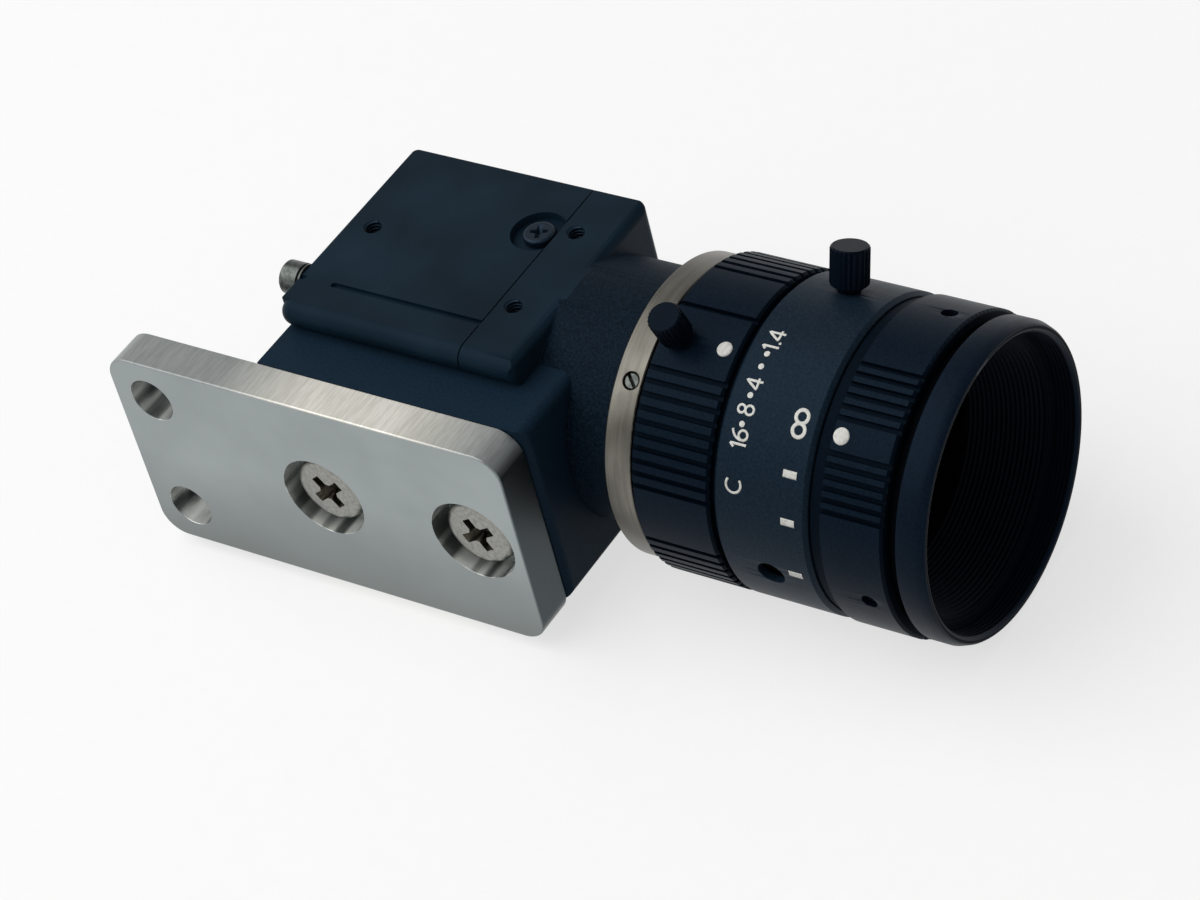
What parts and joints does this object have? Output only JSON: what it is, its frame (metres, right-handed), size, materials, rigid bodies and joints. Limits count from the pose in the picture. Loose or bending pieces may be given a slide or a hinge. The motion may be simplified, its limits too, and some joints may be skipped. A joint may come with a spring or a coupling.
{
  "type": "machine vision camera",
  "caption": "Square-bodied machine vision camera with a screw-in manual lens, a side base block and a flat drilled mounting plate",
  "frame": {"origin": "midway between the two open fixing holes, on the plate's fixing face", "axes": "+Z out of the label face, -X out of the fixing face of the plate, -Y the way the lens looks along its optical axis"},
  "size_m": [0.0434, 0.1014, 0.0407],
  "materials": {
    "housing_paint": "fine textured satin black paint",
    "black_anodise": "satin black anodised",
    "black_screw": "black oxide",
    "nickel": "nickel plated, satin",
    "black_plastic": "moulded, matt",
    "gold": "gold plated",
    "filter_glass": "polished infrared-cut glass",
    "optical_glass": "polished and coated",
    "ceramic": "semi-gloss chip package",
    "circuit_board": "green solder resist",
    "machined_steel": "milled, nickel plated",
    "mount_metal": "turned, satin",
    "steel_pin": "ground",
    "lens_black": "satin black anodised",
    "thumb_black": "black anodised, knurled",
    "brass": "turned, greased",
    "brass_dark": "blackened",
    "blade_steel": "blackened spring steel, matt"
  },
  "bodies": {
    "camera": {"base_block": "black_anodise", "base_screws": "black_screw", "connector_contacts": "gold", "connector_insert": "black_plastic", "connector_shell": "nickel", "core_key": "steel_pin", "cover_screw": "black_screw", "filter_glass": "filter_glass", "filter_ring": "black_anodise", "front_housing": "housing_paint", "helicoid_clip": "steel_pin", "image_sensor": "ceramic", "jack_posts": "nickel", "main_barrel": "black_anodise", "main_board": "circuit_board", "mount_ring": "mount_metal", "mount_set_screws": "black_screw", "mounting_plate": "machined_steel", "plate_screws": "nickel", "rear_cover": "housing_paint", "scale_ring": "lens_black", "sensor_board": "circuit_board", "sensor_window": "optical_glass", "standoffs": "nickel"},
    "iris_ring": {"iris_ring": "lens_black", "iris_link_pin": "steel_pin"},
    "iris_lock": {"iris_lock_screw": "thumb_black"},
    "focus_lock": {"focus_lock_screw": "thumb_black"},
    "focus_ring": {"helicoid_ring": "brass", "focus_ring": "lens_black", "focus_set_screws": "black_screw"},
    "lens_core": {"lens_core": "black_anodise", "front_barrel": "lens_black", "hood_ring": "black_anodise", "front_glass": "optical_glass", "middle_glass": "optical_glass", "rear_cell": "black_anodise", "rear_glass": "optical_glass", "rear_glass_ring": "black_anodise", "iris_base": "black_anodise", "iris_keeper": "black_anodise"},
    "drive_ring": {"drive_ring": "brass_dark"},
    "blade_1": {"iris_blade_1": "blade_steel"},
    "blade_2": {"iris_blade_2": "blade_steel"},
    "blade_3": {"iris_blade_3": "blade_steel"},
    "blade_4": {"iris_blade_4": "blade_steel"},
    "blade_5": {"iris_blade_5": "blade_steel"}
  },
  "joints": [
    {"name": "iris_turn", "type": "hinge", "parent": "camera", "child": "iris_ring", "pos_m": [0.02525, -0.0652, 0.00275], "axis": [0, 1, 0], "range_deg": [-44.8, 7.7]},
    {"name": "focus_turn", "type": "hinge", "parent": "camera", "child": "focus_ring", "pos_m": [0.02525, -0.0875, 0.00275], "axis": [0, 1, 0], "range_deg": [-62, 0]},
    {"name": "focus_advance", "type": "slide", "parent": "camera", "child": "lens_core", "axis": [0, -1, 0], "range_m": [0, 0.002]},
    {"name": "drive_ring_turn", "type": "hinge", "parent": "lens_core", "child": "drive_ring", "pos_m": [0.02525, -0.0683, 0.00275], "axis": [0, 1, 0], "range_deg": [-44.8, 7.7]},
    {"name": "blade_1_swing", "type": "hinge", "parent": "lens_core", "child": "blade_1", "pos_m": [0.01395, -0.0695, 0.00275], "axis": [0, 1, 0], "range_deg": [-4.9, 28.3]},
    {"name": "blade_2_swing", "type": "hinge", "parent": "lens_core", "child": "blade_2", "pos_m": [0.02176, -0.0695, 0.0135], "axis": [0, 1, 0], "range_deg": [-4.9, 28.3]},
    {"name": "blade_3_swing", "type": "hinge", "parent": "lens_core", "child": "blade_3", "pos_m": [0.03439, -0.0695, 0.00939], "axis": [0, 1, 0], "range_deg": [-4.9, 28.3]},
    {"name": "blade_4_swing", "type": "hinge", "parent": "lens_core", "child": "blade_4", "pos_m": [0.03439, -0.0695, -0.00389], "axis": [0, 1, 0], "range_deg": [-4.9, 28.3]},
    {"name": "blade_5_swing", "type": "hinge", "parent": "lens_core", "child": "blade_5", "pos_m": [0.02176, -0.0695, -0.008], "axis": [0, 1, 0], "range_deg": [-4.9, 28.3]},
    {"name": "iris_lock_turn", "type": "hinge", "parent": "iris_ring", "child": "iris_lock", "pos_m": [0.01815, -0.0626, 0.02145], "axis": [-0.3551, 0, 0.9348], "range_deg": [0, 360]},
    {"name": "focus_lock_turn", "type": "hinge", "parent": "camera", "child": "focus_lock", "pos_m": [0.03209, -0.0766, 0.02154], "axis": [0.342, 0, 0.9397], "range_deg": [0, 360]}
  ],
  "couplings": [
    {"joint": "focus_advance", "follows": "focus_turn", "m_per_rad": -0.0018483},
    {"joint": "drive_ring_turn", "follows": "iris_turn", "ratio": 1},
    {"joint": "blade_1_swing", "follows": "iris_turn", "ratio": -0.62857},
    {"joint": "blade_2_swing", "follows": "iris_turn", "ratio": -0.62857},
    {"joint": "blade_3_swing", "follows": "iris_turn", "ratio": -0.62857},
    {"joint": "blade_4_swing", "follows": "iris_turn", "ratio": -0.62857},
    {"joint": "blade_5_swing", "follows": "iris_turn", "ratio": -0.62857}
  ]
}
